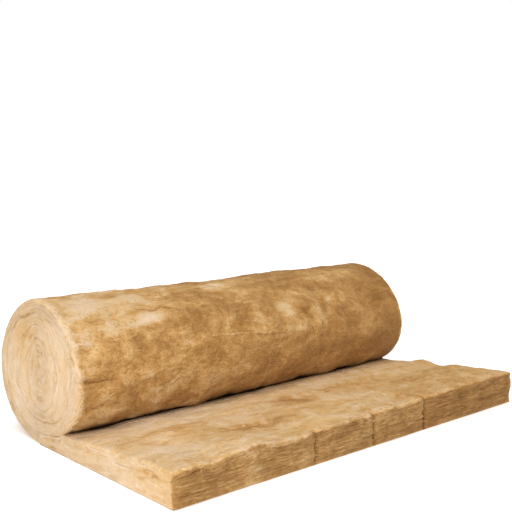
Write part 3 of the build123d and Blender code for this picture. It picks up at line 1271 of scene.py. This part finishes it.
# %% [markdown]
# ## Tufts on the skin
# On the roll the tufts swirl: a slow noise turns them. On the free top they lie mostly along the
# width, and on the cut end they are the layers themselves, thick and almost level. Short ones crowd
# on the top edge and on the two rims, where the knife has freed the fibres.

# %% Skin tufts
random = np.random.default_rng(7)
SIDE_MARGIN = 0.015
STRAND_MARGIN = 0.003
SWIRL_SIZE = (0.16, 0.12, 0.12)
BEND, BEND_MEAN = (-0.4, 0.4), 0.08
RIM_MARGIN = 0.006
EDGE_ROWS = 3
ROWS_BEFORE, ROWS_AFTER = 2, 1

# Kinds of tufts: name, how many, first and last row, spread and swirl of their turn in degrees,
# the shortest and longest length, width and thickness in metres, and how pale, with its spread
ROLL_ROWS = (FIRST_TURN_ROW + 20, CREASE_ROW - 9)
RIM_ROWS = (FIRST_TURN_ROW + 20, CREASE_ROW - 4)
RIM_TUFTS = (60, 0, (0.008, 0.030), (0.0012, 0.0030), (0.0005, 0.0015), (0.14, 0.12))
SKIN_TUFTS = (
    ("roll_fibres", 520, *ROLL_ROWS, 25, 80,
     (0.015, 0.050), (0.0012, 0.0035), (0.0003, 0.0009), (0.05, 0.09)),
    ("free_top_fibres", 280, CREASE_ROW + 8, CORNER_ROW - 4, 14, 25,
     (0.020, 0.080), (0.0012, 0.0035), (0.0003, 0.0009), (0.06, 0.08)),
    ("cut_end_layers", 900, CORNER_ROW + 1, ROWS - 2, 2, 2,
     (0.020, 0.080), (0.0025, 0.0075), (0.0010, 0.0032), (0.02, 0.11)),
    ("top_edge_fibres", 420, CORNER_ROW - EDGE_ROWS, CORNER_ROW + EDGE_ROWS, 30, 0,
     (0.010, 0.036), (0.0012, 0.0030), (0.0005, 0.0015), (0.18, 0.14)),
    ("left_rim_fibres", 420, *RIM_ROWS, *RIM_TUFTS),
    ("right_rim_fibres", 420, *RIM_ROWS, *RIM_TUFTS),
)

# Where the tufts of a kind crowd: places along the width, their spread, and the share that crowds
CROWDS = {
    "top_edge_fibres": ((-0.45, -0.24, 0.0, 0.19), 0.03, 0.5),
    "left_rim_fibres": ((-HALF_WIDTH + RIM_MARGIN,), 0.004, 1.0),
    "right_rim_fibres": ((HALF_WIDTH - RIM_MARGIN,), 0.004, 1.0),
}


def within_width(x):
    """Strands moved along the width, each as a whole, until they end inside both rims."""
    limit = HALF_WIDTH - STRAND_MARGIN
    x = x - np.maximum(x.max((1, 2), keepdims=True) - limit, 0)
    return x + np.maximum(-limit - x.min((1, 2), keepdims=True), 0)


def skin_tufts(name, count, first, last, spread, swirl, lengths, widths, thicks, pales):
    """Strands scattered over rows of the skin. A path runs through its middle at its own turn from
    the width's direction, with a slight bend, and the ring's points lie square to it. None of those
    near the cut end crosses a slit."""
    middle_row = random.uniform(first, last, count)
    middle_x = random.uniform(-HALF_WIDTH + SIDE_MARGIN, HALF_WIDTH - SIDE_MARGIN, count)
    if name in CROWDS:
        places, wide, crowd_share = CROWDS[name]
        crowded = random.normal(np.resize(places, count), wide)
        middle_x = np.where(random.uniform(0, 1, count) < crowd_share, crowded, middle_x)
    middle = over_skin(middle_x, middle_row)[:, :3]
    turned = spread * random.standard_normal(count) + swirl * lumps(middle, SWIRL_SIZE, seed=91)
    cosine, sine = each(np.cos(np.radians(turned))), each(np.sin(np.radians(turned)))
    length, width, thick = (random.uniform(*limits, count) for limits in (lengths, widths, thicks))
    share = np.linspace(-0.5, 0.5, STRAND_SECTIONS)[None, :, None]
    along = each(length) * share
    bend = each(length * random.uniform(*BEND, count)) * (share ** 2 - BEND_MEAN)
    across = bend - each(width) * half_sine(STRAND_SECTIONS) * LENS[:, 0]
    x = within_width(each(middle_x) + along * cosine - across * sine)
    row = each(middle_row) + (along * sine + across * cosine) / each(row_step[middle_row.astype(int)])
    extra_pale = random.normal(*pales, count)
    clear = (to_slits(x) > SLIT_HALF_MOUTH).all((1, 2, 3)) | (first < CORNER_ROW - EDGE_ROWS)
    row = np.clip(row, first - ROWS_BEFORE, last + ROWS_AFTER)
    below = over_skin(x[clear], row[clear])
    return strand_piece(name, below, thick[clear], extra_pale[clear])


tufts = [skin_tufts(*kind) for kind in SKIN_TUFTS]

# %% [markdown]
# ## Torn lips
# In a few places the top layer has torn: a lip stands up along the tear, and the wool below it lies
# in shade. A lip is a strand with one steep side, and a dark thin one is the bottom of a crack.

# %% Torn lips
LIP_SECTIONS = 14
LIP_WANDER = (1.0, (0.03, 1, 1), 97, 2)

# Lips: place along the width and turn in degrees at both ends, how far the middle is turned back, then
# width, thickness and extra paleness
ROLL_LIPS = (
    (-0.210, 249.0, -0.060, 254.0, 0.0, 0.010, 0.0010, 0.15),
    (-0.080, 252.5, 0.085, 258.5, 0.0, 0.010, 0.0010, 0.15),
    (0.020, 276.0, 0.070, 262.0, 0.0, 0.009, 0.0010, 0.16),
    (-0.180, 194.0, -0.050, 195.0, 0.0, 0.016, 0.0018, 0.15),
    (-0.340, 285.0, -0.270, 279.0, 1.0, 0.014, 0.0020, 0.10),
    (-0.590, 241.5, -0.532, 243.5, 3.5, 0.010, 0.0026, 0.12),
    (-0.578, 244.5, -0.540, 246.5, 2.5, 0.004, 0.0006, -0.40),
    (-0.582, 268.5, -0.475, 272.5, 0.0, 0.0045, 0.0006, -0.50),
    (-0.560, 294.0, -0.510, 296.0, 1.0, 0.004, 0.0006, -0.45),
    (-0.372, 216.0, -0.295, 217.5, -1.0, 0.009, 0.0010, -0.42),
    (-0.305, 217.5, -0.262, 218.5, 0.0, 0.008, 0.0010, -0.35),
)


def torn_lips():
    """Ground values along the lips, each a wandering line between two places on the roll, and their
    thickness and paleness. The ring's points lie square to the line: its direction, turned by a right
    angle, times their way across."""
    table = np.array(ROLL_LIPS).T
    x_start, turn_start, x_end, turn_end, turned_back, width = (each(column) for column in table[:6])
    share = np.linspace(0, 1, LIP_SECTIONS)[None, :, None]
    x = x_start + (x_end - x_start) * share
    degrees = turn_start + (turn_end - turn_start) * share - 4 * turned_back * share * (1 - share)
    row = FIRST_TURN_ROW + (degrees + relief(on_line(x), LIP_WANDER)) / DEGREES_PER_ROW
    metres_per_row = row_step[FIRST_TURN_ROW + TURN_COLUMNS // 2]
    step_x, step_round = np.gradient(x, axis=1), np.gradient(row * metres_per_row, axis=1)
    across = -width * half_sine(LIP_SECTIONS) * LIP[:, 0] / np.hypot(step_x, step_round)
    below = over_skin(x - across * step_round, row + across * step_x / metres_per_row)
    return below, table[6], table[7]


tufts.append(strand_piece("torn_lips", *torn_lips(), LIP))

# %% [markdown]
# ## Ridges on the ends
# A knife leaves the layers of each turn standing as many thin broken ridges, most of them where two
# turns meet. They are strands too, narrow and proud, and follow the winding.

# %% End ridges
RIDGES_PER_END = 800
RIDGE_MARGIN = 0.02
RIDGE_LENGTHS = (0.020, 0.090)
RIDGE_WIDTHS = (0.0022, 0.0055)
RIDGE_HEIGHTS = (0.0005, 0.0012)
RIDGE_PALE = (0.02, 0.05)
CORE_LENGTH, CORE_REACH = 0.3, 1.5
BORDER_SHARE, BORDER_SPREAD, BORDER_HEIGHT = 0.6, 1.3, 1.6
LAYER_DRIFT, LAYER_BEND = 1.2, 2.0
FLECK_SHARE, FLECK_PALE = 0.12, 0.25


def end_ridges(side):
    """Ground values along the winding of one end for strands that each keep to a layer, and their
    heights and paleness. Those near the core are shorter, those at the border of two turns lie on
    both, and a few are white flecks."""
    reach = end_reach(ends[side])
    end_ground = ground(ends[side], side, end_run[side], end_pale(ends[side]))
    count, one_each = RIDGES_PER_END, (RIDGES_PER_END, 1, 1)
    middle = random.uniform(RIDGE_MARGIN, reach[-1] - RIDGE_MARGIN, count)
    from_core = ramp(reach[-1] - middle, 0.0, CORE_REACH)
    length = random.uniform(*RIDGE_LENGTHS, count) * (CORE_LENGTH + (1 - CORE_LENGTH) * from_core)
    middle = np.clip(middle, length / 2, reach[-1] - length / 2)
    share = np.linspace(-0.5, 0.5, STRAND_SECTIONS)[None, :, None]
    metres = each(middle) + each(length) * share
    along = np.interp(metres, reach, column_number)
    at_border = random.uniform(0, 1, count) < BORDER_SHARE
    border_layer = random.normal(PLY_ROWS, BORDER_SPREAD, count) % PLY_ROWS
    layer = each(np.where(at_border, border_layer, random.uniform(0, PLY_ROWS, count)))
    drift = random.normal(0, LAYER_DRIFT, one_each) * share
    drift = drift + random.uniform(-LAYER_BEND, LAYER_BEND, one_each) * share ** 2
    width = random.uniform(*RIDGE_WIDTHS, one_each)
    across = side * width * half_sine(STRAND_SECTIONS) * LENS[:, 0] / (TURN_PITCH / PLY_ROWS)
    half = np.abs(across).max((1, 2), keepdims=True)
    first, last = along.min((1, 2), keepdims=True), along.max((1, 2), keepdims=True)
    turn_outside = first >= CREASE_ROW
    turn_inside = (first >= FREE_COLUMNS) & (last + TURN_COLUMNS <= LAST_COLUMN)
    least = np.where(turn_outside, -half, half)
    most = PLY_ROWS + np.where(turn_inside, half, -half)
    layer = np.clip(layer + drift, least, most) + across
    outwards, inwards = np.where(turn_outside, -1, 0), np.where(turn_inside, 1, 0)
    turns_in = np.floor(layer / PLY_ROWS).clip(outwards, inwards)
    below = on_grid(end_ground, along + turns_in * TURN_COLUMNS, layer - turns_in * PLY_ROWS)
    through = end_layers(side)[0] + TURN_PITCH * END_FINENESS * layer / PLY_ROWS
    below[..., GROUND_PARTS[1]:GROUND_PARTS[2]] = fibre_grid(metres, through)
    thick = random.uniform(*RIDGE_HEIGHTS, count) * np.where(at_border, BORDER_HEIGHT, 1.0)
    fleck = FLECK_PALE * (random.uniform(0, 1, count) < FLECK_SHARE)
    return below, thick, random.normal(*RIDGE_PALE, count) + fleck


both_ends = [np.concatenate(pair) for pair in zip(end_ridges(-1), end_ridges(1))]
tufts.append(strand_piece("end_ridges", *both_ends))

# %% [markdown]
# ## Loose hairs
# Single fibres and thin bundles stick out everywhere, most of all along the cut edges, and make the
# outline fuzzy. Hair particles would not be kept with the part, so each hair is a thin three-sided
# tube that starts in the wool, leans along the surface and bends away from it.

# %% Loose hairs
HAIR_SECTIONS = 5
HAIR_RADIUS, HAIR_TAPER = (0.00015, 0.00035), 0.7
HAIR_LENGTHS = (0.008, 0.028)
HAIR_RISES = (0.05, 0.25)
HAIR_RING = np.radians([90, 210, 330])[:, None]
HAIR_SUNK = 0.0005
HAIR_PALE = 0.15
HAIR_RIM_MARGIN = 0.004
HAIRS_ANYWHERE, HAIRS_ON_RIMS, HAIRS_ON_EDGE, HAIRS_AT_CREASE = 900, 700, 500, 400
EDGE_ROWS_SPREAD = 1.5
CREASE_HAIR_ROWS = (CREASE_ROW - 7, 2.0)
HAIR_ROWS = (FIRST_TURN_ROW + 20, ROWS - 3)
RIM_HAIR_ROWS = (FIRST_TURN_ROW + 15, ROWS - 2)


def all_along(count):
    """Random places along the whole width."""
    return random.uniform(-HALF_WIDTH, HALF_WIDTH, count)


def hair_roots():
    """Ground values at the roots of the hairs: all over the skin, then along the rims, the top edge
    of the cut end and the crease."""
    anywhere = all_along(HAIRS_ANYWHERE), random.uniform(*HAIR_ROWS, HAIRS_ANYWHERE)
    rim_x = random.choice([-1, 1], HAIRS_ON_RIMS) * (HALF_WIDTH - HAIR_RIM_MARGIN)
    rims = rim_x, random.uniform(*RIM_HAIR_ROWS, HAIRS_ON_RIMS)
    edge = all_along(HAIRS_ON_EDGE), random.normal(CORNER_ROW, EDGE_ROWS_SPREAD, HAIRS_ON_EDGE)
    foot = all_along(HAIRS_AT_CREASE), random.normal(*CREASE_HAIR_ROWS, HAIRS_AT_CREASE)
    return np.concatenate([over_skin(x, row) for x, row in (anywhere, rims, edge, foot)])


def loose_hairs(name):
    """Tubes along parabolas: each starts under the surface, runs along a random direction in it and
    rises with the square of the way."""
    root = hair_roots()
    place, normal, run, pale = (part[:, None] for part in np.split(root, GROUND_PARTS, -1))
    one_each = (len(root), 1, 1)
    lean = random.normal(0, 1, (len(root), 1, 3))
    lean = unit(lean - (lean * normal).sum(-1, keepdims=True) * normal)
    length = random.uniform(*HAIR_LENGTHS, one_each)
    rise = length * random.uniform(*HAIR_RISES, one_each)
    share = np.linspace(0, 1, HAIR_SECTIONS)[None, :, None]
    path = place + lean * length * share + normal * (rise * share ** 2 - HAIR_SUNK * (1 - share))
    path[..., 2] = np.maximum(path[..., 2], HAIR_SUNK)
    radius = random.uniform(*HAIR_RADIUS, (*one_each, 1)) * (1 - HAIR_TAPER * share[..., None])
    sideways = np.cross(normal, lean)
    spoke = normal[:, :, None] * np.sin(HAIR_RING) + sideways[:, :, None] * np.cos(HAIR_RING)
    corners = path[:, :, None] + radius * spoke
    pales = np.broadcast_to(pale + HAIR_PALE, corners.shape[:3])
    runs = np.broadcast_to(run[:, :, None], (*corners.shape[:3], 2))
    return tube_piece(name, corners, pales, runs, smooth_ring=True, smooth_tips=True)


tufts.append(loose_hairs("loose_hairs"))

# %% [markdown]
# ## Hand over
# Every piece rides on the part's one body and takes the same finish. The skin stands for the packed
# solid, which is soft all through, and the solid itself is hidden.

# %% Hand over
for tuft in tufts:
    tuft.data.materials.append(glass_wool)
    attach(tuft, "root")
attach(blanket, "root")
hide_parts("wool_blanket")
print("pieces", 1 + len(tufts))
